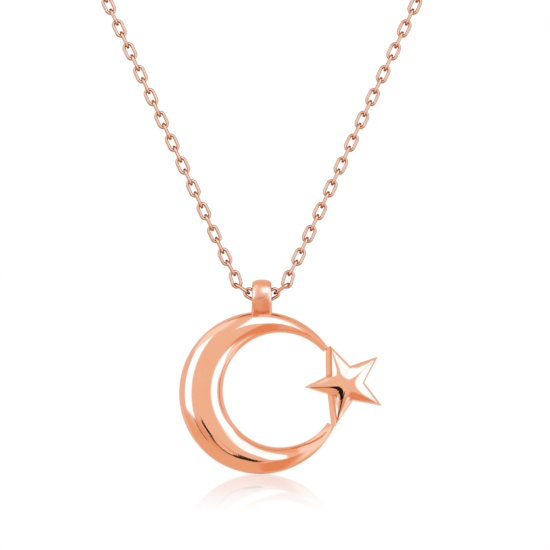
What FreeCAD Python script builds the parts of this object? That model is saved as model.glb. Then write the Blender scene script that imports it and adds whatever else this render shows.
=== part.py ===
import FreeCAD, Part
import math
import os

from FreeCAD import Placement, Rotation, Vector

# A pendant necklace. A domed crescent and a faceted star hang from a strap bail on a fine oval-link
# cable chain, closed at the nape by a spring-ring clasp. Millimetres. +Z is up, the front faces -Y.
# The chain is mirror-symmetric about x = 0. It lies on a draped surface: upright at the front, then
# leaning back around the neck. A place on that surface is (x, h), where h is the height unrolled.

# ---- driving dimensions ----

# chain
WIRE = 0.35
LINK_WIDTH = 1.28
LINK_LENGTH = 2.10
PLAY = 0.02
LINKS_PER_SIDE = 159
STRAND_ANGLE = 24.8
PITCH = LINK_LENGTH - 2 * WIRE - PLAY

# the neck circle's radius is searched for between these, to this closeness
NECK_R_RANGE = (30.0, 90.0)
NECK_R_CLOSENESS = 1e-9

# the first links beside the bail lie slack: angle from upright, and distance between contacts
SLACK_LINKS = [(63.0, PITCH), (55.0, 1.25), (17.0, PITCH), (30.0, PITCH)]

# draped surface: upright up to a height, then bent back to a lean
DRAPE_FLAT = 70.0
DRAPE_RADIUS = 80.0
DRAPE_LEAN = 60.0

# each fold lies above this link, counted from the bail along one strand
FRONT_FOLDS = [5, 15, 25, 35, 45, 55, 65, 75]
NAPE_FOLDS = [127, 145]

# crescent: an outer circle less an offset hole, between two tip angles
OUTER_R = 8.95
HOLE_R = 6.33
HOLE_DX = 2.18
HOLE_DZ = 0.30
CRESCENT_X = -0.15
TIP_TOP = 33.5
TIP_BOTTOM = 336.0
CRESCENT_SECTIONS = 25
DOME_POINTS = 12
DEPTH_AT_TIP = 0.75
DEPTH_PER_WIDTH = 0.32
WALL_SHARE = 0.30
BACK_TRIM = 0.20

# the crescent's dome turns into a ridge towards each tip, between these angles
RIDGE_TOP = (110.0, 40.0)
RIDGE_BOTTOM = (265.0, 310.0)
RIDGE_SHARE = 0.75

# star, its centre measured from the outer circle's centre
STAR_DX = 9.41
STAR_DZ = 1.00
STAR_ARMS = 5
STAR_TIP_R = 4.62
STAR_NOTCH_R = 2.02
STAR_TURN = 184.6
STAR_WALL = 0.95
STAR_BEVEL = 0.20
STAR_DOME = 0.60
STAR_LEAN = 0.08
STAR_TILT = 0.04

# bar behind the star that joins the crescent's tips, its bends measured from the same centre
BAR_WIDTH = 0.50
BAR_DEPTH = 0.60
BAR_POINTS = [(7.42, 5.10), (7.47, 1.25), (8.06, -3.70)]

# bail, a teardrop strap with a round eye along X, its heights measured from the same centre
BAIL_TOP_WIDTH = 2.08
BAIL_FOOT_WIDTH = 2.26
BAIL_R = 1.68
BAIL_EYE_R = 1.26
BAIL_EYE_RISE = 10.80
BAIL_FOOT_RISE = 8.70
BAIL_FOOT_DEPTH = 1.00
BAIL_EDGE = 0.12

# ring inside the bail's eye, between the two strands
CENTRE_RING_HOLE_R = 0.42
CENTRE_RING_RISE = 10.50

# spring-ring clasp; angles run round the casing from the end ring's side
CASING_R = 2.35
CASING_TUBE_R = 0.60
CASING_BORE_R = 0.46
MOUTH = (25.0, 62.0)
PLUG = (330.0, 350.0)
BORE_OVERRUN = 1.0
BOLT_WIRE_R = 0.42
BOLT = (15.0, 118.0)
BOLT_TRAVEL = 48.0
THUMB_AT = 105.0
THUMB_R = 0.32
THUMB_RISE = 1.30
SLOT_PLAY = 0.04
SPRING_WIRE_R = 0.08
SPRING_COIL_R = 0.36
SPRING_COILS = 12
SPRING_POINTS_PER_COIL = 12
SPRING_GAP = 3.0
LUG_R = 0.62
LUG_SINK = 0.15
RING_WIRE_R = 0.20
JUMP_RING_R = 1.10
END_RING_R = 1.60

# ---- places worked out from those ----

X_AXIS = Vector(1, 0, 0)
Y_AXIS = Vector(0, 1, 0)
Z_AXIS = Vector(0, 0, 1)
FRONT = -Y_AXIS
PENDANT_BACK = BAIL_FOOT_DEPTH / 2
PENDANT_CENTRE = Vector(CRESCENT_X, PENDANT_BACK, OUTER_R)
RING_HEIGHT = OUTER_R + CENTRE_RING_RISE
EYE_CENTRE = Vector(0, 0, OUTER_R + BAIL_EYE_RISE)
LUG_X = -(CASING_R + CASING_TUBE_R + LUG_R + RING_WIRE_R - LUG_SINK)
END_RING_X = CASING_R - CASING_TUBE_R - PLAY - RING_WIRE_R + END_RING_R
JUMP_RING_X = LUG_X - LUG_R + RING_WIRE_R + PLAY + RING_WIRE_R - JUMP_RING_R
CLASP_RIGHT = END_RING_X + END_RING_R - RING_WIRE_R
CLASP_LEFT = JUMP_RING_X - JUMP_RING_R + RING_WIRE_R
CLASP_HALF = (CLASP_RIGHT - CLASP_LEFT) / 2
CLASP_X = -(CLASP_RIGHT + CLASP_LEFT) / 2


def polar(radius, degrees):
    """A point of the XZ plane at a radius, and at an angle from +X towards +Z."""
    angle = math.radians(degrees)
    return Vector(radius * math.cos(angle), 0, radius * math.sin(angle))


def ring_arc(radius, wire_r, start, end):
    """A bent round rod in the XZ plane, about the origin, between two angles."""
    tangent = polar(1, start + 90)
    section = Part.Face(Part.Wire([Part.makeCircle(wire_r, polar(radius, start), tangent)]))
    return section.revolve(Vector(), FRONT, end - start)


def closed_ring(radius, wire_r, centre, normal):
    """A plain round ring of wire."""
    return Part.makeTorus(radius, wire_r, centre, normal)


def polygon(points):
    """A flat face with straight edges."""
    return Part.Face(Part.makePolygon(list(points) + [points[0]]))


# ---- the draped surface and the chain's line on it ----


def drape(x, h):
    """The point of the draped surface at (x, h), and the surface's front normal there."""
    lean = min(max((h - DRAPE_FLAT) / DRAPE_RADIUS, 0), math.radians(DRAPE_LEAN))
    rest = max(h - DRAPE_FLAT - DRAPE_RADIUS * lean, 0)
    y = DRAPE_RADIUS * (1 - math.cos(lean)) + rest * math.sin(lean)
    z = min(h, DRAPE_FLAT) + DRAPE_RADIUS * math.sin(lean) + rest * math.cos(lean)
    return Vector(x, y, z), Vector(0, -math.cos(lean), math.sin(lean))


def slack_contacts():
    """Contacts (x, h) of the first links on the right strand, from the ring in the bail upwards."""
    x = CENTRE_RING_HOLE_R
    h = RING_HEIGHT
    places = [(x, h)]
    for degrees, length in SLACK_LINKS:
        x += length * math.sin(math.radians(degrees))
        h += length * math.cos(math.radians(degrees))
        places.append((x, h))
    return places


def strand_shape(neck_r, start):
    """Length of a strand's straight run, height of its neck circle, and length of its arc."""
    angle = math.radians(STRAND_ANGLE)
    x, h = start
    neck_h = h + (neck_r - x * math.cos(angle)) / math.sin(angle)
    run = (neck_h - h) * math.cos(angle) - x * math.sin(angle)
    arc = neck_r * (angle + math.acos(CLASP_HALF / neck_r))
    return run, neck_h, arc


def neck_radius(start, length):
    """The neck circle that a strand of this length follows to reach the clasp, by bisection."""
    low, high = NECK_R_RANGE
    while high - low > NECK_R_CLOSENESS:
        middle = (low + high) / 2
        run, _, arc = strand_shape(middle, start)
        if run + arc > length:
            high = middle
        else:
            low = middle
    return low


def strand_contacts():
    """Contacts (x, h) along the right strand, one pitch apart, ending at the clasp's ring."""
    places = slack_contacts()
    x0, h0 = places[-1]
    steps = LINKS_PER_SIDE - len(SLACK_LINKS)
    neck_r = neck_radius(places[-1], steps * PITCH)
    run, neck_h, _ = strand_shape(neck_r, places[-1])
    angle = math.radians(STRAND_ANGLE)
    for step in range(1, steps + 1):
        s = step * PITCH
        turn = (s - run) / neck_r - angle
        if s <= run:
            places.append((x0 + s * math.sin(angle), h0 + s * math.cos(angle)))
        else:
            places.append((neck_r * math.cos(turn), neck_h + neck_r * math.sin(turn)))
    return places


def link():
    """One oval link round the origin, long along X and flat in the XY plane."""
    bend = (LINK_WIDTH - WIRE) / 2
    straight = (LINK_LENGTH - LINK_WIDTH) / 2
    start = Vector(0, -bend, 0)
    right_low = Vector(straight, -bend, 0)
    right_high = Vector(straight, bend, 0)
    left_high = Vector(-straight, bend, 0)
    left_low = Vector(-straight, -bend, 0)
    reach = X_AXIS * (straight + bend)
    path = [
        Part.LineSegment(start, right_low),
        Part.Arc(right_low, reach, right_high),
        Part.LineSegment(right_high, left_high),
        Part.Arc(left_high, -reach, left_low),
        Part.LineSegment(left_low, start),
    ]
    section = Part.Wire([Part.makeCircle(WIRE / 2, start, X_AXIS)])
    return Part.Wire([piece.toShape() for piece in path]).makePipeShell([section], True, False)


def strand_links(contacts, side):
    """Every link of one strand in order; side is 1 for the right and -1 for the left."""
    plain = link()
    links = []
    for number in range(1, len(contacts)):
        start, start_normal = drape(side * contacts[number - 1][0], contacts[number - 1][1])
        end, end_normal = drape(side * contacts[number][0], contacts[number][1])
        along = (end - start).normalize()
        across = along.cross(start_normal + end_normal).normalize()
        face = across.cross(along)
        if number % 2:
            turn = Rotation(along, across, face, "XYZ")
        else:
            turn = Rotation(along, face, -across, "XYZ")
        piece = plain.copy()
        piece.Placement = Placement((start + end) / 2, turn)
        links.append(piece)
    return links


def fold_pivot(contacts, number):
    """Where the chain folds above a link: the middle of the face-on link's end wire, at x = 0."""
    below = drape(*contacts[number - 1])[0]
    here = drape(*contacts[number])[0]
    above = drape(*contacts[number + 1])[0]
    reach = (WIRE + PLAY) / 2
    if number % 2:
        pivot = here + (here - below).normalize() * reach
    else:
        pivot = here - (above - here).normalize() * reach
    return Vector(0, pivot.y, pivot.z)


def chain_nodes(contacts):
    """The links between one fold and the next, left and right, from the bail up to the clasp."""
    cuts = [0] + FRONT_FOLDS + NAPE_FOLDS + [LINKS_PER_SIDE]
    names = [f"front_{number}" for number in range(len(FRONT_FOLDS), 0, -1)]
    names += ["neck", "nape_1", "nape_2"]
    nodes = {}
    for side, word in ((1, "right"), (-1, "left")):
        links = strand_links(contacts, side)
        for name, first, last in zip(names, cuts, cuts[1:]):
            nodes[f"chain_{name}_{word}"] = Part.makeCompound(links[first:last])
    return nodes


# ---- pendant ----


def hole_distance(degrees):
    """Distance from the outer circle's centre to the hole's edge, along a direction."""
    angle = math.radians(degrees)
    along = HOLE_DX * math.cos(angle) + HOLE_DZ * math.sin(angle)
    across = HOLE_DX * math.sin(angle) - HOLE_DZ * math.cos(angle)
    return along + math.sqrt(HOLE_R**2 - across**2)


def ridge_share(degrees):
    """How much of the section is a ridge rather than a round dome, at an angle round the crescent."""
    towards_top = (RIDGE_TOP[0] - degrees) / (RIDGE_TOP[0] - RIDGE_TOP[1])
    towards_bottom = (degrees - RIDGE_BOTTOM[0]) / (RIDGE_BOTTOM[1] - RIDGE_BOTTOM[0])
    share = min(max(towards_top, towards_bottom, 0.0), 1.0)
    return RIDGE_SHARE * share * share * (3 - 2 * share)


def spline(points):
    """A smooth curve through points."""
    curve = Part.BSplineCurve()
    curve.interpolate(points)
    return curve.toShape()


def crescent_section(degrees):
    """The crescent's section along a direction: a flat back, two low walls and a dome that is part ridge."""
    inner = hole_distance(degrees)
    half = (OUTER_R - inner) / 2
    depth = DEPTH_AT_TIP + DEPTH_PER_WIDTH * 2 * half
    wall = FRONT * (depth * WALL_SHARE)
    dome = FRONT * (depth * (1 - WALL_SHARE))
    outward = polar(1, degrees)
    middle = PENDANT_CENTRE + outward * (inner + half)
    ridge = ridge_share(degrees)
    points = []
    for step in range(DOME_POINTS + 1):
        angle = math.pi * step / DOME_POINTS
        across = math.cos(angle)
        rise = (1 - ridge) * math.sin(angle) + ridge * (1 - abs(across))
        points.append(middle + wall + outward * (half * across) + dome * rise)
    crest = DOME_POINTS // 2
    arch = [spline(points[: crest + 1]), spline(points[crest:])]
    behind = middle + Y_AXIS * BACK_TRIM
    base = [points[-1], behind - outward * half, behind + outward * half, points[0]]
    return Part.Wire(arch + Part.makePolygon(base).Edges)


def crescent():
    """The lune, lofted from tip to tip a little too deep, then trimmed to a truly flat back."""
    step = (TIP_BOTTOM - TIP_TOP) / (CRESCENT_SECTIONS - 1)
    sections = [crescent_section(TIP_TOP + step * i) for i in range(CRESCENT_SECTIONS)]
    corner = PENDANT_CENTRE - Vector(2 * OUTER_R, 0, 2 * OUTER_R)
    trim = Part.makeBox(4 * OUTER_R, OUTER_R, 4 * OUTER_R, corner)
    return Part.makeLoft(sections, True, False).cut(trim).Solids[0]


def star():
    """A five-armed star, facing a little towards +X and up, with ten flat facets that rise to its centre."""
    centre = PENDANT_CENTRE + Vector(STAR_DX, 0, STAR_DZ) + FRONT * BAR_DEPTH
    half_arm = 180 / STAR_ARMS
    edge = (polar(STAR_TIP_R, 0) - polar(STAR_NOTCH_R, half_arm)).Length
    inscribed = STAR_TIP_R * STAR_NOTCH_R * math.sin(math.radians(half_arm)) / edge
    shrink = 1 - STAR_BEVEL / inscribed
    outline = []
    for arm in range(STAR_ARMS):
        turn = STAR_TURN + arm * 2 * half_arm
        outline += [polar(STAR_TIP_R, turn), polar(STAR_NOTCH_R, turn + half_arm)]
    low = [centre + point for point in outline]
    rim = [point * shrink for point in outline]
    heights = [STAR_WALL - STAR_LEAN * point.x - STAR_TILT * point.z for point in rim]
    high = [centre + point + FRONT * height for point, height in zip(rim, heights)]
    top = centre + FRONT * (STAR_WALL + STAR_DOME)
    faces = [polygon(low)]
    for i in range(len(outline)):
        j = (i + 1) % len(outline)
        faces.append(polygon([low[i], low[j], high[j]]))
        faces.append(polygon([low[i], high[j], high[i]]))
        faces.append(polygon([high[i], high[j], top]))
    return Part.Solid(Part.Shell(faces))


def star_bar(lune):
    """The flat bar behind the star, bent once, with its ends let into the crescent's tips."""
    points = [PENDANT_CENTRE + Vector(x, 0, z) for x, z in BAR_POINTS]
    first = (points[1] - points[0]).normalize().cross(Y_AXIS)
    last = (points[2] - points[1]).normalize().cross(Y_AXIS)
    bend = (first + last) / (1 + first.dot(last))
    sides = [first, bend, last]
    left = [p + side * (BAR_WIDTH / 2) for p, side in zip(points, sides)]
    right = [p - side * (BAR_WIDTH / 2) for p, side in zip(points, sides)]
    bar = polygon(left + right[::-1]).extrude(FRONT * BAR_DEPTH)
    return bar.cut(lune).Solids[0]


def bail(lune):
    """The strap bail: round over the eye, its foot soldered on the crescent, clear of its flat back."""
    half_foot = BAIL_FOOT_DEPTH / 2
    drop = BAIL_EYE_RISE - BAIL_FOOT_RISE
    reach = math.hypot(half_foot, drop)
    swing = math.acos(BAIL_R / reach) + math.atan2(half_foot, drop) - math.pi / 2
    touch = Vector(0, math.cos(swing), math.sin(swing)) * BAIL_R
    left_end = -X_AXIS * BAIL_FOOT_WIDTH
    front_foot = EYE_CENTRE + left_end + Vector(0, -half_foot, -drop)
    back_foot = EYE_CENTRE + left_end + Vector(0, half_foot, -drop)
    front_touch = EYE_CENTRE + left_end + Vector(0, -touch.y, touch.z)
    back_touch = EYE_CENTRE + left_end + touch
    crown = EYE_CENTRE + left_end + Z_AXIS * BAIL_R
    outline = [
        Part.LineSegment(back_touch, back_foot),
        Part.LineSegment(back_foot, front_foot),
        Part.LineSegment(front_foot, front_touch),
        Part.Arc(front_touch, crown, back_touch),
    ]
    side = Part.Face(Part.Wire([piece.toShape() for piece in outline]))
    block = side.extrude(X_AXIS * (2 * BAIL_FOOT_WIDTH))
    low = EYE_CENTRE.z - drop
    high = EYE_CENTRE.z + BAIL_R
    half_top = BAIL_TOP_WIDTH / 2
    half_low = BAIL_FOOT_WIDTH / 2
    front = [(-half_low, low), (half_low, low), (half_top, high), (-half_top, high)]
    silhouette = polygon([Vector(x, -BAIL_FOOT_WIDTH, z) for x, z in front])
    strap = block.common(silhouette.extrude(Y_AXIS * (2 * BAIL_FOOT_WIDTH)))
    eye = Part.makeCylinder(
        BAIL_EYE_R, 2 * BAIL_FOOT_WIDTH, EYE_CENTRE - X_AXIS * BAIL_FOOT_WIDTH, X_AXIS
    )
    strap = strap.cut(eye).Solids[0]
    rims = []
    for edge in strap.Edges:
        at_side = abs(edge.CenterOfMass.x) > half_top - BAIL_EDGE
        if at_side and edge.BoundBox.ZMax > low + BAIL_EDGE:
            rims.append(edge)
    behind = Part.makeCylinder(OUTER_R + PLAY, 2 * BAIL_R, PENDANT_CENTRE, Y_AXIS)
    return strap.makeFillet(BAIL_EDGE, rims).cut([lune, behind]).Solids[0]


def centre_ring():
    """The small closed ring that lies level inside the bail's eye and joins the two strands."""
    radius = CENTRE_RING_HOLE_R + PLAY / 2 + WIRE / 2
    return closed_ring(radius, WIRE / 2, Z_AXIS * RING_HEIGHT, Z_AXIS)


# ---- clasp, drawn round the origin in the XZ plane and facing -Y ----


def clasp_casing():
    """The bent tube of the spring ring, open at the mouth, with a slot for the thumb piece."""
    tube = ring_arc(CASING_R, CASING_TUBE_R, MOUTH[1], 360 + MOUTH[0])
    spring_bore = ring_arc(CASING_R, CASING_BORE_R, MOUTH[1] - BORE_OVERRUN, PLUG[0])
    nose_bore = ring_arc(CASING_R, CASING_BORE_R, PLUG[1] - 360, MOUTH[0] + BORE_OVERRUN)
    half = THUMB_R + SLOT_PLAY
    spread = math.degrees(math.asin(half / (CASING_R + BOLT_WIRE_R)))
    start = THUMB_AT - spread
    corners = [
        polar(CASING_R, start) - Y_AXIS * half,
        polar(CASING_R, start) + Y_AXIS * half,
        polar(CASING_R + 2 * CASING_TUBE_R, start) + Y_AXIS * half,
        polar(CASING_R + 2 * CASING_TUBE_R, start) - Y_AXIS * half,
    ]
    slot = polygon(corners).revolve(Vector(), FRONT, BOLT_TRAVEL + 2 * spread)
    return tube.cut([spring_bore, nose_bore, slot]).Solids[0]


def clasp_bolt():
    """The curved bolt that closes the mouth, with its thumb piece."""
    rod = ring_arc(CASING_R, BOLT_WIRE_R, *BOLT)
    outward = polar(1, THUMB_AT)
    thumb = Part.makeCylinder(THUMB_R, THUMB_RISE, outward * CASING_R, outward)
    cap = Part.makeSphere(THUMB_R, outward * (CASING_R + THUMB_RISE))
    return rod.fuse([thumb, cap]).removeSplitter().Solids[0]


def clasp_spring():
    """The fine coil between the bolt's tail and the casing's plug."""
    start = BOLT[1] + SPRING_GAP
    end = PLUG[0] - SPRING_GAP
    steps = SPRING_COILS * SPRING_POINTS_PER_COIL
    points = []
    for step in range(steps + 1):
        outward = polar(1, start + (end - start) * step / steps)
        turn = 2 * math.pi * SPRING_COILS * step / steps
        radius = CASING_R + SPRING_COIL_R * math.cos(turn)
        points.append(outward * radius + FRONT * (SPRING_COIL_R * math.sin(turn)))
    line = Part.BSplineCurve()
    line.interpolate(points)
    section = Part.Wire([Part.makeCircle(SPRING_WIRE_R, points[0], line.tangent(0)[0])])
    return Part.Wire([line.toShape()]).makePipeShell([section], True, True)


def clasp_lug(casing):
    """The small ring soldered on the casing that takes the jump ring."""
    return closed_ring(LUG_R, RING_WIRE_R, X_AXIS * LUG_X, Y_AXIS).cut(casing).Solids[0]


def clasp_nodes(contacts):
    """The clasp and its two rings, moved to the nape between the strands' last links."""
    casing = clasp_casing()
    nodes = {
        "clasp_casing": casing,
        "clasp_bolt": clasp_bolt(),
        "clasp_spring": clasp_spring(),
        "clasp_lug": clasp_lug(casing),
        "jump_ring": closed_ring(JUMP_RING_R, RING_WIRE_R, X_AXIS * JUMP_RING_X, Z_AXIS),
        "end_ring": closed_ring(END_RING_R, RING_WIRE_R, X_AXIS * END_RING_X, Z_AXIS),
    }
    place, normal = drape(CLASP_X, contacts[-1][1])
    lean = math.degrees(math.atan2(normal.z, -normal.y))
    for shape in nodes.values():
        shape.Placement = Placement(place, Rotation(X_AXIS, -lean))
    return nodes


# ---- the whole necklace ----


def necklace(contacts):
    """Every node by name, in the frame that the dimensions above are given in."""
    lune = crescent()
    nodes = {
        "crescent": lune,
        "star": star(),
        "star_bar": star_bar(lune),
        "bail": bail(lune),
        "centre_ring": centre_ring(),
    }
    nodes.update(chain_nodes(contacts))
    nodes.update(clasp_nodes(contacts))
    return nodes


def main():
    """Puts the origin at the centre of the box's bottom, and writes one file per node."""
    contacts = strand_contacts()
    nodes = necklace(contacts)
    box = Part.makeCompound(list(nodes.values())).optimalBoundingBox()
    shift = Vector(0, -(box.YMin + box.YMax) / 2, -box.ZMin)
    os.makedirs("parts", exist_ok=True)
    for name, shape in nodes.items():
        moved = shape.copy()
        moved.translate(shift)
        moved.exportStep(f"parts/{name}.step")
    print("box", box.XLength, box.YLength, box.ZLength)
    print("pivot pendant", *(EYE_CENTRE + shift))
    for number, link_number in enumerate(reversed(FRONT_FOLDS), 1):
        print(f"pivot front_{number}", *(fold_pivot(contacts, link_number) + shift))
    for number, link_number in enumerate(NAPE_FOLDS, 1):
        print(f"pivot nape_{number}", *(fold_pivot(contacts, link_number) + shift))
    place, normal = drape(CLASP_X, contacts[-1][1])
    print("pivot clasp", *(place + shift))
    print("axis bolt", *normal)
    print("back", PENDANT_BACK + shift.y, OUTER_R + shift.z)


main()
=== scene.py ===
"""A rose-gold pendant necklace with a domed crescent and a puffed star, in a white studio.

The chain, the rings, the star's bar and the clasp are the CAD nodes with better materials. The crescent, the
star and the bail are rebuilt as finer meshes in the same places. Metres, +Z up, the front faces -Y.
"""

import math

import bmesh
import bpy
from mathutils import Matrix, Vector


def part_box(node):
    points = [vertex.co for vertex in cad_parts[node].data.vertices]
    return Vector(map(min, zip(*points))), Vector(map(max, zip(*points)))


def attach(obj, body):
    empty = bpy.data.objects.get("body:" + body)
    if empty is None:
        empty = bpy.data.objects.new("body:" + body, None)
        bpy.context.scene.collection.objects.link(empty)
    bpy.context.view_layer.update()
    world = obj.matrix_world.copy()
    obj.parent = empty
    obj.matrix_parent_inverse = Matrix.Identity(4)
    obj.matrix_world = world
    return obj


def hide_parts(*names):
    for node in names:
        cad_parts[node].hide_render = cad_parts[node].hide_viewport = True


MM = 0.001

# crescent: an outer circle less an offset hole, between two tip angles (millimetres and degrees)
OUTER_R = 8.95
HOLE_R = 6.33
HOLE_DX = 2.18
HOLE_DZ = 0.30
TIP_TOP = 33.5
TIP_BOTTOM = 336.0
DEPTH_AT_TIP = 0.75
DEPTH_PER_WIDTH = 0.32
WALL_SHARE = 0.30
BACK_CORNER = 0.07
CRESCENT_STEPS = 300
DOME_STEPS = 48
CORNER_STEPS = 3

# the crescent's section turns from a round dome into a ridge towards each tip, between these angles
RIDGE_TOP = (110.0, 40.0)
RIDGE_BOTTOM = (265.0, 310.0)
RIDGE_SHARE = 0.75

# star: its outline, its leaning top, and how round the ridges, valleys and middle of that top are
STAR_ARMS = 5
STAR_TIP_R = 4.62
STAR_NOTCH_R = 2.02
STAR_TURN = 184.6
STAR_WALL = 0.95
STAR_BEVEL = 0.20
STAR_DOME = 0.75
STAR_PUFF = 1.00
STAR_MOUND = 0.25
STAR_MOUND_R = 3.50
STAR_LEAN = 0.08
STAR_TILT = 0.04
STAR_RIDGE_SOFT = 0.80
STAR_RIDGE_END = 1.03
STAR_VALLEY_SOFT = 0.70
STAR_VALLEY_POWER = 4
STAR_APEX_SOFT = 0.80
STAR_RINGS = 60
STAR_RING_POWER = 1.15
STAR_STEPS = 40

# bail: a strap with a crowned outside, and an eye that flares a little at its edges
BAIL_TOP_WIDTH = 2.08
BAIL_FOOT_WIDTH = 2.26
BAIL_R = 1.68
BAIL_EYE_R = 1.26
BAIL_EYE_RISE = 10.80
BAIL_FOOT_RISE = 8.70
BAIL_FOOT_DEPTH = 1.00
BAIL_CROWN = 0.36
BAIL_CROWN_POWER = 2.0
BAIL_FLARE = 0.07
BAIL_FLARE_POWER = 6
BAIL_COLUMNS = 48
BAIL_LOOP = 128

# camera, in degrees and millimetres
CAMERA_ELEVATION = 1.5
CAMERA_LENS = 200.0
SENSOR = 36.0
FIELD = 60.5
AIM = Vector((1.45, -40.8, 21.93)) * MM
CLIP_NEAR = 10.0
CLIP_FAR = 20000.0

# floor, in millimetres: its mirror image begins under the pendant, then fades to the front and the sides
FLOOR_HALF = 3000.0
MIRROR_BACK = (39.0, 41.2)
MIRROR_FRONT = (42.0, 85.0)
MIRROR_SIDE = (15.0, 24.0)
MIRROR_STRENGTH = 0.36
MIRROR_ROUGHNESS = 0.02

# metals
ROSE_GOLD = (0.92, 0.45, 0.28)
CHAIN_GOLD = (0.92, 0.43, 0.25)
CLASP_GOLD = (0.90, 0.43, 0.26)
STEEL = (0.56, 0.56, 0.58)
WHITE = (1.0, 1.0, 1.0)
DARK = (0.02, 0.012, 0.01)

# shares of a metal's colour: where it drifts, in tight corners under painted shade, and along a painted dark
# outline
DRIFT = (1.0, 0.965, 0.93)
CORNER_SHADE = (0.62, 0.40, 0.30)
RIM_SHADE = (0.42, 0.28, 0.19)

# wear and painted shade: noise scales per metre, bump height, and how far the painted corner shade reaches,
# in millimetres
CLOUD_SCALE = 260.0
WIPE_SCALE = (9000.0, 9000.0, 900.0)
GRAIN_SCALE = 5200.0
CLOUD_DETAIL = 3.0
FINE_DETAIL = 2.0
BUMP_HEIGHT = 0.002
CORNER_SHADE_REACH = 0.4

# wear, painted corner shade and painted dark outline: the noise, occlusion or facing values between which
# each effect sets in
DRIFT_RANGE = (0.35, 0.65)
CORNER_SHADE_RANGE = (0.0, 0.55)
RIM_SHADE_RANGE = (0.04, 0.34)
POLISH_RANGE = (0.3, 0.7)
WIPE_RANGE = (0.45, 0.75)

# wear, as shares of the metal's roughness: where it is polished best and worst, and what wipe marks add;
# WIPE_BUMP is the height of the wipe marks next to that of the grain
BEST_POLISH = 0.75
WORST_POLISH = 1.35
WIPE_ROUGHNESS = 0.6
WIPE_BUMP = 1.5

# CAD nodes that a finer mesh stands for
REPLACED = ("crescent", "star", "bail")

# what the angle of a ray is divided by stays above this, so that the front direction itself works
SMALLEST_SINE = 0.0001

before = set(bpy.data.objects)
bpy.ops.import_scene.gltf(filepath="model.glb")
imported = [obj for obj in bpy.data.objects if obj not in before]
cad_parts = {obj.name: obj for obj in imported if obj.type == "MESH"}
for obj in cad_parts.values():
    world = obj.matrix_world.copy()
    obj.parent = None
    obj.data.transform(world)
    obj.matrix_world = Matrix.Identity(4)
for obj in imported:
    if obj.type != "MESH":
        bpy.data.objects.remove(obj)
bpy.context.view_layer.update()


def polar(radius, degrees):
    """A point of the XZ plane at a radius, and at an angle from +X towards +Z."""
    angle = math.radians(degrees)
    return Vector((radius * math.cos(angle), 0, radius * math.sin(angle)))


def make_object(name, vertices, faces, sharp_degrees=40.0):
    """A smooth-shaded mesh object from vertices in millimetres, with sharp edges where it bends steeply."""
    mesh = bpy.data.meshes.new(name)
    mesh.from_pydata([Vector(v) * MM for v in vertices], [], faces)
    shell = bmesh.new()
    shell.from_mesh(mesh)
    bmesh.ops.recalc_face_normals(shell, faces=shell.faces)
    shell.to_mesh(mesh)
    shell.free()
    mesh.shade_smooth()
    mesh.set_sharp_from_angle(angle=math.radians(sharp_degrees))
    made = bpy.data.objects.new(name, mesh)
    bpy.context.scene.collection.objects.link(made)
    return made


def tube_faces(rings, around):
    """Quads between rings of equal size, and one polygon that closes each end."""
    faces = []
    for i in range(rings - 1):
        for j in range(around):
            k = (j + 1) % around
            faces.append((i * around + j, i * around + k, (i + 1) * around + k, (i + 1) * around + j))
    faces.append(tuple(range(around)))
    faces.append(tuple(range((rings - 1) * around, rings * around)))
    return faces


# ---- node helpers ----


class Graph:
    """A short way to add shader nodes and join them."""

    def __init__(self, tree):
        self.tree = tree
        self.tree.nodes.clear()

    def add(self, kind, values=None, **settings):
        """A node with its settings; values sets its inputs to numbers or joins them to sockets."""
        node = self.tree.nodes.new(kind)
        for key, value in settings.items():
            setattr(node, key, value)
        for key, value in (values or {}).items():
            if isinstance(value, bpy.types.NodeSocket):
                self.tree.links.new(value, node.inputs[key])
            else:
                node.inputs[key].default_value = value
        return node

    def math(self, operation, *values):
        """A scalar math node; values are numbers or sockets."""
        return self.add("ShaderNodeMath", dict(enumerate(values)), operation=operation).outputs[0]

    def dot(self, socket, vector):
        """The dot product of a vector socket and a fixed vector."""
        node = self.add("ShaderNodeVectorMath", {0: socket, 1: vector}, operation="DOT_PRODUCT")
        return node.outputs["Value"]

    def ramp(self, value, start, end, low=0.0, high=1.0):
        """A smooth step of value, from low at start to high at end."""
        values = {"Value": value, "From Min": start, "From Max": end, "To Min": low, "To Max": high}
        return self.add("ShaderNodeMapRange", values, interpolation_type="SMOOTHSTEP").outputs["Result"]

    def mix(self, factor, first, second):
        """A colour between two colours or sockets."""
        node = self.add("ShaderNodeMix", data_type="RGBA")
        for index, value in ((0, factor), (6, first), (7, second)):
            if isinstance(value, bpy.types.NodeSocket):
                self.tree.links.new(value, node.inputs[index])
            else:
                node.inputs[index].default_value = value
        return node.outputs[2]


def rgba(colour, shares=(1.0, 1.0, 1.0)):
    """A colour with alpha, each channel times its share."""
    return (colour[0] * shares[0], colour[1] * shares[1], colour[2] * shares[2], 1.0)


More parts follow.
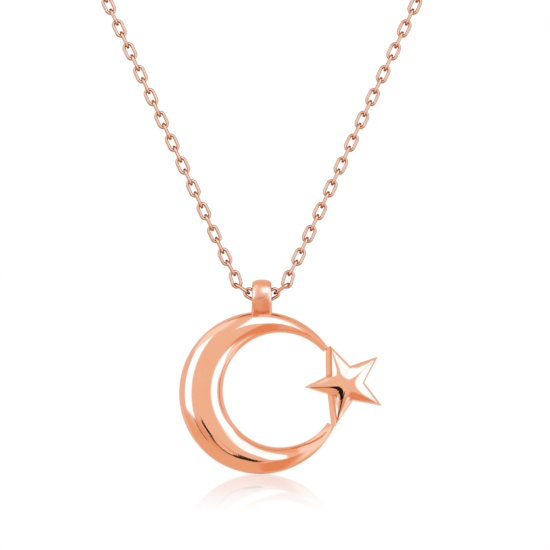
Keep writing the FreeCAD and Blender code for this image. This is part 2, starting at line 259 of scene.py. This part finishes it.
class Sky:
    """The studio as a ray meets it. Places are (u, v): degrees right of and above the front direction."""

    def __init__(self, graph, ray):
        self.graph = graph
        axis = Vector((0, -1, 0))
        toward = graph.dot(ray, axis)
        across = graph.dot(ray, Vector((0, 0, 1)).cross(axis))
        upward = graph.dot(ray, Vector((0, 0, 1)))
        self.angle = graph.math("MULTIPLY", graph.math("ARCCOSINE", toward), 180 / math.pi)
        sine = graph.math("SQRT", graph.math("SUBTRACT", 1.0, graph.math("POWER", toward, 2.0)))
        scale = graph.math("DIVIDE", self.angle, graph.math("MAXIMUM", sine, SMALLEST_SINE))
        self.u = graph.math("MULTIPLY", across, scale)
        self.v = graph.math("MULTIPLY", upward, scale)

    def between(self, value, low, high, soft):
        """1 where value lies between low and high, fading over soft degrees at both ends."""
        rise = self.graph.ramp(value, low - soft / 2, low + soft / 2)
        fall = self.graph.ramp(value, high - soft / 2, high + soft / 2, 1.0, 0.0)
        return self.graph.math("MULTIPLY", rise, fall)

    def box(self, left, right, bottom, top, soft):
        """1 inside a rectangle of sky."""
        wide = self.between(self.u, left, right, soft)
        return self.graph.math("MULTIPLY", wide, self.between(self.v, bottom, top, soft))

    def stroke(self, first, second, soft=0.8):
        """1 within a straight stroke of sky whose half width changes from end to end."""
        graph = self.graph
        du, dv = second[0] - first[0], second[1] - first[1]
        length = du * du + dv * dv
        from_u = graph.math("SUBTRACT", self.u, first[0])
        from_v = graph.math("SUBTRACT", self.v, first[1])
        along_u = graph.math("MULTIPLY", from_u, du / length)
        along = graph.math("MULTIPLY_ADD", from_v, dv / length, along_u)
        share = graph.add("ShaderNodeClamp", {"Value": along}).outputs[0]
        off_u = graph.math("MULTIPLY_ADD", share, -du, from_u)
        off_v = graph.math("MULTIPLY_ADD", share, -dv, from_v)
        square = graph.math("MULTIPLY_ADD", off_v, off_v, graph.math("MULTIPLY", off_u, off_u))
        distance = graph.math("SQRT", square)
        width = graph.math("MULTIPLY_ADD", share, second[2] - first[2], first[2])
        inside = graph.math("SUBTRACT", width, distance)
        return graph.ramp(inside, -soft / 2, soft / 2)


# ---- materials ----

# painted reflection: dark strokes painted black into the star's colour where its mirror direction meets
# them, as if
# from a black flag by the lens: two ends as (u, v, half width), in degrees
STAR_PAINTED_FLAG = [
    ((-20.0, -14.0, 5.0), (-6.0, -12.0, 7.0)),
    ((-6.0, -12.0, 7.0), (-2.0, -24.0, 7.0)),
]


def polished_metal(name, colour, roughness, scratch, rim=0.0, painted_flag=()):
    """Plated metal with uneven polish, fine wipe marks, slight colour drift and painted shade in tight
    corners.

    rim paints the outline darker at grazing angles, a painted reflection of a dark room, and flag holds
    strokes of sky that are painted black into the colour, a painted reflection of a black flag.
    """
    material = bpy.data.materials.new(name)
    material.use_nodes = True
    graph = Graph(material.node_tree)
    place = graph.add("ShaderNodeTexCoord").outputs["Object"]
    coarse = {"Vector": place, "Scale": CLOUD_SCALE, "Detail": CLOUD_DETAIL}
    cloudy = graph.add("ShaderNodeTexNoise", coarse).outputs["Fac"]
    stretch = graph.add("ShaderNodeMapping", {"Vector": place, "Scale": WIPE_SCALE})
    long = {"Vector": stretch.outputs[0], "Scale": 1.0, "Detail": FINE_DETAIL}
    wipes = graph.add("ShaderNodeTexNoise", long).outputs["Fac"]
    fine = {"Vector": place, "Scale": GRAIN_SCALE, "Detail": FINE_DETAIL}
    grain = graph.add("ShaderNodeTexNoise", fine).outputs["Fac"]
    tone = graph.ramp(cloudy, *DRIFT_RANGE)
    body = graph.mix(tone, rgba(colour), rgba(colour, DRIFT))
    # painted shade: tight corners, found by ambient occlusion, get a darker copy of the colour
    around = {"Distance": CORNER_SHADE_REACH * MM}
    nook = graph.add("ShaderNodeAmbientOcclusion", around, samples=4).outputs["AO"]
    shade = graph.ramp(nook, *CORNER_SHADE_RANGE)
    body = graph.mix(shade, rgba(colour, CORNER_SHADE), body)
    # painted reflection: the outline is painted darker at grazing angles, as a dark room would mirror there
    if rim:
        facing = graph.add("ShaderNodeLayerWeight", {"Blend": 0.5}).outputs["Facing"]
        body = graph.mix(graph.ramp(facing, *RIM_SHADE_RANGE, 0.0, rim), body, rgba(colour, RIM_SHADE))
    # painted reflection: where the mirror direction meets a flag stroke, the colour is painted black
    if painted_flag:
        sky = Sky(graph, graph.add("ShaderNodeTexCoord").outputs["Reflection"])
        for first, second in painted_flag:
            body = graph.mix(sky.stroke(first, second), body, rgba(DARK))
    polish = graph.ramp(cloudy, *POLISH_RANGE, roughness * BEST_POLISH, roughness * WORST_POLISH)
    streaks = graph.ramp(wipes, *WIPE_RANGE, 0.0, roughness * WIPE_ROUGHNESS)
    rough = graph.math("ADD", polish, streaks)
    height = graph.math("ADD", grain, graph.math("MULTIPLY", wipes, WIPE_BUMP))
    relief = {"Height": height, "Strength": scratch, "Distance": BUMP_HEIGHT * MM}
    bump = graph.add("ShaderNodeBump", relief)
    values = {"Base Color": body, "Metallic": 1.0, "Roughness": rough, "Normal": bump.outputs[0]}
    shader = graph.add("ShaderNodeBsdfPrincipled", values)
    graph.add("ShaderNodeOutputMaterial", {"Surface": shader.outputs[0]})
    return material


pendant_gold = polished_metal("pendant_rose_gold", ROSE_GOLD, roughness=0.055, scratch=0.25)
# the star's colour has painted black reflections of a flag
star_gold = polished_metal("star_rose_gold", ROSE_GOLD, roughness=0.09, scratch=0.06, painted_flag=STAR_PAINTED_FLAG)
bail_gold = polished_metal("bail_rose_gold", ROSE_GOLD, roughness=0.27, scratch=0.8)
# the chain's colour has a painted dark outline at grazing angles
chain_gold = polished_metal("chain_rose_gold", CHAIN_GOLD, roughness=0.13, scratch=0.1, rim=0.9)
clasp_gold = polished_metal("clasp_rose_gold", CLASP_GOLD, roughness=0.09, scratch=0.35)
steel = polished_metal("spring_steel", STEEL, roughness=0.20, scratch=0.6)


def finish_of(name):
    """The metal of a CAD node that shows as it is."""
    if name == "clasp_spring":
        return steel
    if name.startswith("clasp") or name in ("jump_ring", "end_ring"):
        return clasp_gold
    if name == "star_bar":
        return pendant_gold
    return chain_gold


def place_piece(made, material, node):
    """Put a finer mesh on the pendant in place of its CAD node."""
    made.data.materials.append(material)
    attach(made, "pendant")
    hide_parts(node)


# ---- crescent ----

crescent_low, crescent_high = (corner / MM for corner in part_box("crescent"))
CENTRE = Vector((crescent_low.x + OUTER_R, crescent_high.y, crescent_low.z + OUTER_R))


def hole_distance(degrees):
    """Distance from the outer circle's centre to the hole's edge, along a direction."""
    angle = math.radians(degrees)
    along = HOLE_DX * math.cos(angle) + HOLE_DZ * math.sin(angle)
    across = HOLE_DX * math.sin(angle) - HOLE_DZ * math.cos(angle)
    return along + math.sqrt(HOLE_R**2 - across**2)


def ridge_share(degrees):
    """How much of the section is a ridge rather than a round dome, at an angle round the crescent."""
    towards_top = (RIDGE_TOP[0] - degrees) / (RIDGE_TOP[0] - RIDGE_TOP[1])
    towards_bottom = (degrees - RIDGE_BOTTOM[0]) / (RIDGE_BOTTOM[1] - RIDGE_BOTTOM[0])
    share = min(max(towards_top, towards_bottom, 0.0), 1.0)
    return RIDGE_SHARE * share * share * (3 - 2 * share)


def crescent_ring(degrees):
    """Section points in space: round back corners, low walls and a dome that is part ridge."""
    inner = hole_distance(degrees)
    half = (OUTER_R - inner) / 2
    depth = DEPTH_AT_TIP + DEPTH_PER_WIDTH * 2 * half
    wall = depth * WALL_SHARE
    dome = depth * (1 - WALL_SHARE)
    ridge = ridge_share(degrees)
    corner = min(BACK_CORNER, wall / 2, half / 2)
    points = []
    for step in range(DOME_STEPS + 1):
        angle = math.pi * step / DOME_STEPS
        across = math.cos(angle)
        rise = (1 - ridge) * math.sin(angle) + ridge * (1 - abs(across))
        points.append((half * across, wall + dome * rise))
    for side in (-1, 1):
        arc = []
        for step in range(CORNER_STEPS + 1):
            angle = math.pi / 2 * step / CORNER_STEPS
            u = side * (half - corner + corner * math.cos(angle))
            arc.append((u, corner - corner * math.sin(angle)))
        points += arc if side < 0 else arc[::-1]
    outward = polar(1, degrees)
    middle = CENTRE + outward * (inner + half)
    return [middle + outward * u + Vector((0, -v, 0)) for u, v in points]


def build_crescent():
    """The lune as one closed shell, cut straight across at both tips."""
    rings = []
    for step in range(CRESCENT_STEPS + 1):
        share = step / CRESCENT_STEPS
        degrees = TIP_TOP + (TIP_BOTTOM - TIP_TOP) * share
        rings.append(crescent_ring(degrees))
    vertices = [point for ring in rings for point in ring]
    faces = tube_faces(len(rings), len(rings[0]))
    place_piece(make_object("crescent_body", vertices, faces, sharp_degrees=50.0), pendant_gold, "crescent")


# ---- star ----


def star_height(x, z, reach):
    """Height of the pillowed top over its rim, with soft ridges along the arms and soft valleys between."""
    half_arm = math.pi / STAR_ARMS
    across = STAR_NOTCH_R * math.sin(half_arm)
    lean = math.pi / 2 - math.atan2(across, STAR_TIP_R - STAR_NOTCH_R * math.cos(half_arm))
    radius = math.hypot(x, z)
    turn = math.atan2(z, x) - math.radians(STAR_TURN)
    off = abs((turn + half_arm) % (2 * half_arm) - half_arm)
    along = math.hypot(radius * math.cos(off), STAR_APEX_SOFT)
    ridge_soft = STAR_RIDGE_SOFT * (STAR_RIDGE_END - radius / STAR_TIP_R)
    aside = math.hypot(radius * math.sin(off), ridge_soft)
    from_valley = radius * math.sin(half_arm - off)
    share = radius / STAR_NOTCH_R
    valley_soft = STAR_VALLEY_SOFT * share / (1 + share**STAR_VALLEY_POWER) ** (1 / STAR_VALLEY_POWER)
    fillet = math.hypot(from_valley, valley_soft) - from_valley
    # the slopes that meet along the valley, which the fillet evens out
    valley_aside = radius * math.sin(half_arm)
    valley_along = radius * math.cos(half_arm)
    kink = math.sin(lean) * math.cos(half_arm) * valley_aside / math.hypot(valley_aside, ridge_soft)
    kink -= math.cos(lean) * math.sin(half_arm) * valley_along / math.hypot(valley_along, STAR_APEX_SOFT)
    fall = along * math.cos(lean) + aside * math.sin(lean) - fillet * kink
    full = math.hypot(reach, STAR_PUFF)
    mound = STAR_MOUND * max(0.0, 1 - (radius / STAR_MOUND_R) ** 2) ** 2
    return mound + STAR_DOME * (full - math.hypot(fall, STAR_PUFF)) / (full - STAR_PUFF)


def top_point(flat, rise):
    """A point of the star's top, which leans so that the star faces a little towards +X and up."""
    return flat - Vector((0, STAR_WALL + rise - STAR_LEAN * flat.x - STAR_TILT * flat.z, 0))


def star_place():
    """The star's centre on the back plane, from its CAD box."""
    low, high = (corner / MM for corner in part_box("star"))
    tips = [polar(STAR_TIP_R, STAR_TURN + 360 / STAR_ARMS * arm) for arm in range(STAR_ARMS)]
    return Vector((low.x - min(t.x for t in tips), high.y, low.z - min(t.z for t in tips)))


def build_star():
    """A puffed five-armed star: leaning side walls under a soft top with five ridges."""
    centre = star_place()
    half_arm = 180 / STAR_ARMS
    edge = (polar(STAR_TIP_R, 0) - polar(STAR_NOTCH_R, half_arm)).length
    inscribed = STAR_TIP_R * STAR_NOTCH_R * math.sin(math.radians(half_arm)) / edge
    shrink = 1 - STAR_BEVEL / inscribed
    reach = inscribed * shrink
    outline = []
    for arm in range(STAR_ARMS):
        turn = STAR_TURN + arm * 2 * half_arm
        corners = [polar(STAR_TIP_R, turn), polar(STAR_NOTCH_R, turn + half_arm)]
        corners.append(polar(STAR_TIP_R, turn + 2 * half_arm))
        for first, second in zip(corners, corners[1:]):
            for step in range(STAR_STEPS):
                outline.append(first.lerp(second, step / STAR_STEPS))
    count = len(outline)
    vertices = [centre + point for point in outline]
    for ring in range(STAR_RINGS):
        share = 1 - (ring / STAR_RINGS) ** STAR_RING_POWER
        for point in outline:
            flat = point * (shrink * share)
            vertices.append(centre + top_point(flat, star_height(flat.x, flat.z, reach)))
    vertices.append(centre + top_point(Vector(), star_height(0, 0, reach)))
    faces = [tuple(range(count))]
    for ring in range(STAR_RINGS):
        for i in range(count):
            j = (i + 1) % count
            a, b = ring * count, (ring + 1) * count
            faces.append((a + i, a + j, b + j, b + i))
    last = STAR_RINGS * count
    for i in range(count):
        faces.append((last + i, last + (i + 1) % count, len(vertices) - 1))
    place_piece(make_object("star_body", vertices, faces, sharp_degrees=32.0), star_gold, "star")


# ---- bail ----


def edge_curve(across, size, power):
    """How far a rounded face has dropped: 0 in its middle and size at its edges, where across is -1 or 1."""
    return size * (1 - (1 - abs(across) ** power) ** (1 / power))


def bail_width(z):
    """The strap's width at a height over the eye's centre."""
    drop = BAIL_EYE_RISE - BAIL_FOOT_RISE
    return BAIL_TOP_WIDTH + (BAIL_FOOT_WIDTH - BAIL_TOP_WIDTH) * (BAIL_R - z) / (BAIL_R + drop)


def bail_loop(crown):
    """The strap's outside in (y, z) about the eye, lowered by the crown: from the front over the top to
    the back, along the foot and up the front again."""
    half_foot = BAIL_FOOT_DEPTH / 2
    drop = BAIL_EYE_RISE - BAIL_FOOT_RISE
    radius = BAIL_R - crown
    reach = math.hypot(half_foot, drop)
    swing = math.acos(min(1.0, BAIL_R / reach)) + math.atan2(half_foot, drop) - math.pi / 2
    points = []
    arc = BAIL_LOOP // 2
    for step in range(arc + 1):
        angle = math.pi - swing + (2 * swing - math.pi) * step / arc
        points.append((radius * math.cos(angle), radius * math.sin(angle)))
    first = points[0]
    last = points[-1]
    side = BAIL_LOOP // 6
    for step in range(1, side + 1):
        share = step / side
        points.append((last[0] + (half_foot - crown - last[0]) * share, last[1] + (-drop - last[1]) * share))
    for step in range(1, side):
        share = step / side
        points.append(((half_foot - crown) * (1 - 2 * share), -drop))
    for step in range(side):
        share = step / side
        y = -(half_foot - crown) + (first[0] + half_foot - crown) * share
        points.append((y, -drop + (first[1] + drop) * share))
    return points


def build_bail():
    """The strap round its eye, crowned outside, with soft edges and a foot that spreads a little."""
    low, high = (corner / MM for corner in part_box("bail"))
    eye = Vector(((low.x + high.x) / 2, low.y + BAIL_R, high.z - BAIL_R))
    vertices = []
    for column in range(BAIL_COLUMNS + 1):
        across = -math.cos(math.pi * column / BAIL_COLUMNS)
        outside = bail_loop(edge_curve(across, BAIL_CROWN, BAIL_CROWN_POWER))
        rows = len(outside)
        radius = BAIL_EYE_R + edge_curve(across, BAIL_FLARE, BAIL_FLARE_POWER)
        for y, z in outside:
            vertices.append(eye + Vector((across * bail_width(z) / 2, y, z)))
        for y, z in outside:
            angle = math.atan2(z, y)
            z_eye = radius * math.sin(angle)
            vertices.append(eye + Vector((across * bail_width(z_eye) / 2, radius * math.cos(angle), z_eye)))
    faces = []
    size = 2 * rows
    for column in range(BAIL_COLUMNS):
        a, b = column * size, (column + 1) * size
        for i in range(rows):
            j = (i + 1) % rows
            faces.append((a + i, a + j, b + j, b + i))
            faces.append((a + rows + i, b + rows + i, b + rows + j, a + rows + j))
    for start in (0, BAIL_COLUMNS * size):
        for i in range(rows):
            j = (i + 1) % rows
            faces.append((start + i, start + j, start + rows + j, start + rows + i))
    place_piece(make_object("bail_strap", vertices, faces, sharp_degrees=60.0), bail_gold, "bail")


# ---- studio ----

# light colours of the room; rose gold mirrors WHITE_BOX as plain white and MIDDLE as its middle tone
WHITE_BOX = (1.12, 2.35, 3.8)
MIDDLE = (0.95, 0.97, 0.96)
FAR = (0.92, 0.92, 0.98)
LIGHT = (1.10, 2.10, 3.20)
PALE = (1.04, 1.38, 1.68)
WARM = (0.90, 0.76, 0.62)
AMBER = (0.90, 0.68, 0.50)
ORANGE = (0.84, 0.50, 0.33)
DIM = (0.84, 0.64, 0.50)

# soft boxes and dim parts, later ones on top: left, right, bottom, top and softness in degrees, and colour
FRONT_BOXES = [
    (-90.0, 90.0, -120.0, -26.0, 14.0, WARM),
    (0.0, 9.0, -26.0, -10.0, 4.0, AMBER),
    (8.0, 36.0, -95.0, -26.0, 12.0, ORANGE),
    (44.0, 95.0, -75.0, -20.0, 12.0, PALE),
    (-38.0, -8.0, -34.0, -17.0, 9.0, DIM),
    (-45.0, 120.0, 72.0, 120.0, 10.0, WARM),
    (-85.0, -22.0, 46.0, 85.0, 12.0, PALE),
    (10.0, 50.0, 16.0, 62.0, 10.0, LIGHT),
    (-71.0, -36.0, -19.0, 46.0, 5.0, WHITE_BOX),
    (38.0, 73.0, -36.0, 50.0, 8.0, WHITE_BOX),
    (0.0, 24.0, 16.0, 60.0, 4.0, WHITE_BOX),
]

# dark strokes of the room, which all the metal mirrors: two ends as (u, v, half width), in degrees
STROKES = [
    ((-8.3, -14.4, 1.5), (-12.5, -14.2, 3.0)),
    ((-12.5, -14.2, 3.0), (-17.0, -14.0, 0.9)),
    ((8.0, -12.0, 2.4), (5.8, -18.0, 3.4)),
    ((5.8, -18.0, 3.0), (-3.3, -26.3, 1.5)),
    ((-3.3, -26.3, 1.5), (-8.7, -26.6, 1.4)),
    ((-8.7, -26.6, 1.4), (-12.5, -21.5, 1.4)),
    ((-12.5, -21.5, 1.4), (-9.5, -15.0, 1.6)),
    ((-30.7, -32.4, 1.2), (-39.8, -20.5, 1.0)),
]

# where the room changes, in degrees from the front: the middle tone ends, the warm back begins, then white
SIDE_FADE = (60.0, 90.0)
BACK_FADE = (125.0, 150.0)
WHITE_FADE = (168.0, 174.0)


def build_world():
    """Soft boxes at both sides and above in a warm dim room; the camera itself sees plain white."""
    world = bpy.data.worlds.new("studio")
    world.use_nodes = True
    bpy.context.scene.world = world
    graph = Graph(world.node_tree)
    sky = Sky(graph, graph.add("ShaderNodeTexCoord").outputs["Generated"])
    room = graph.mix(graph.ramp(sky.angle, *SIDE_FADE), rgba(MIDDLE), rgba(FAR))
    for left, right, bottom, top, soft, colour in FRONT_BOXES:
        room = graph.mix(sky.box(left, right, bottom, top, soft), room, rgba(colour))
    for first, second in STROKES:
        room = graph.mix(sky.stroke(first, second), room, rgba(DARK))
    room = graph.mix(graph.ramp(sky.angle, *BACK_FADE), room, rgba(WARM))
    room = graph.mix(graph.ramp(sky.angle, *WHITE_FADE), room, rgba(WHITE))
    seen = graph.add("ShaderNodeLightPath").outputs["Is Camera Ray"]
    colour = graph.mix(seen, room, rgba(WHITE))
    light = graph.add("ShaderNodeBackground", {"Color": colour, "Strength": 1.0})
    graph.add("ShaderNodeOutputWorld", {"Surface": light.outputs[0]})


def build_floor():
    """A large white floor at z = 0 with a faint mirror image that fades towards the camera."""
    corners = [(FLOOR_HALF * x, FLOOR_HALF * y, 0) for x, y in ((-1, -1), (1, -1), (1, 1), (-1, 1))]
    floor = make_object("studio_floor", corners, [(0, 1, 2, 3)])
    material = bpy.data.materials.new("floor_white")
    material.use_nodes = True
    graph = Graph(material.node_tree)
    place = graph.add("ShaderNodeTexCoord").outputs["Object"]
    depth = graph.dot(place, Vector((0, -1, 0)))
    side = graph.math("ABSOLUTE", graph.dot(place, Vector((1, 0, 0))))
    begin = graph.ramp(depth, MIRROR_BACK[0] * MM, MIRROR_BACK[1] * MM)
    fade = graph.ramp(depth, MIRROR_FRONT[0] * MM, MIRROR_FRONT[1] * MM, MIRROR_STRENGTH, 0.0)
    near = graph.math("MULTIPLY", begin, fade)
    middle = graph.ramp(side, MIRROR_SIDE[0] * MM, MIRROR_SIDE[1] * MM, 1.0, 0.0)
    near = graph.math("MULTIPLY", near, middle)
    white = graph.add("ShaderNodeEmission", {"Color": rgba(WHITE)})
    mirror = graph.add("ShaderNodeBsdfGlossy", {"Color": rgba(WHITE), "Roughness": MIRROR_ROUGHNESS})
    surface = graph.add("ShaderNodeMixShader", {0: near, 1: white.outputs[0], 2: mirror.outputs[0]})
    graph.add("ShaderNodeOutputMaterial", {"Surface": surface.outputs[0]})
    floor.data.materials.append(material)
    floor.visible_glossy = False


def build_camera():
    """A long lens almost level with the pendant, from where its field at the aim is as wide as wanted."""
    data = bpy.data.cameras.new("camera")
    data.lens = CAMERA_LENS
    data.sensor_width = SENSOR
    data.clip_start = CLIP_NEAR * MM
    data.clip_end = CLIP_FAR * MM
    camera = bpy.data.objects.new("camera", data)
    bpy.context.scene.collection.objects.link(camera)
    elevation = math.radians(CAMERA_ELEVATION)
    away = Vector((0, -math.cos(elevation), math.sin(elevation)))
    camera.location = AIM + away * (FIELD * MM * CAMERA_LENS / SENSOR)
    camera.rotation_euler = (-away).to_track_quat("-Z", "Y").to_euler()
    bpy.context.scene.camera = camera


build_crescent()
build_star()
build_bail()
for name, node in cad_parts.items():
    if name not in REPLACED:
        node.data.materials.clear()
        node.data.materials.append(finish_of(name))
build_world()
build_floor()
build_camera()
bpy.context.scene.view_settings.view_transform = "Standard"
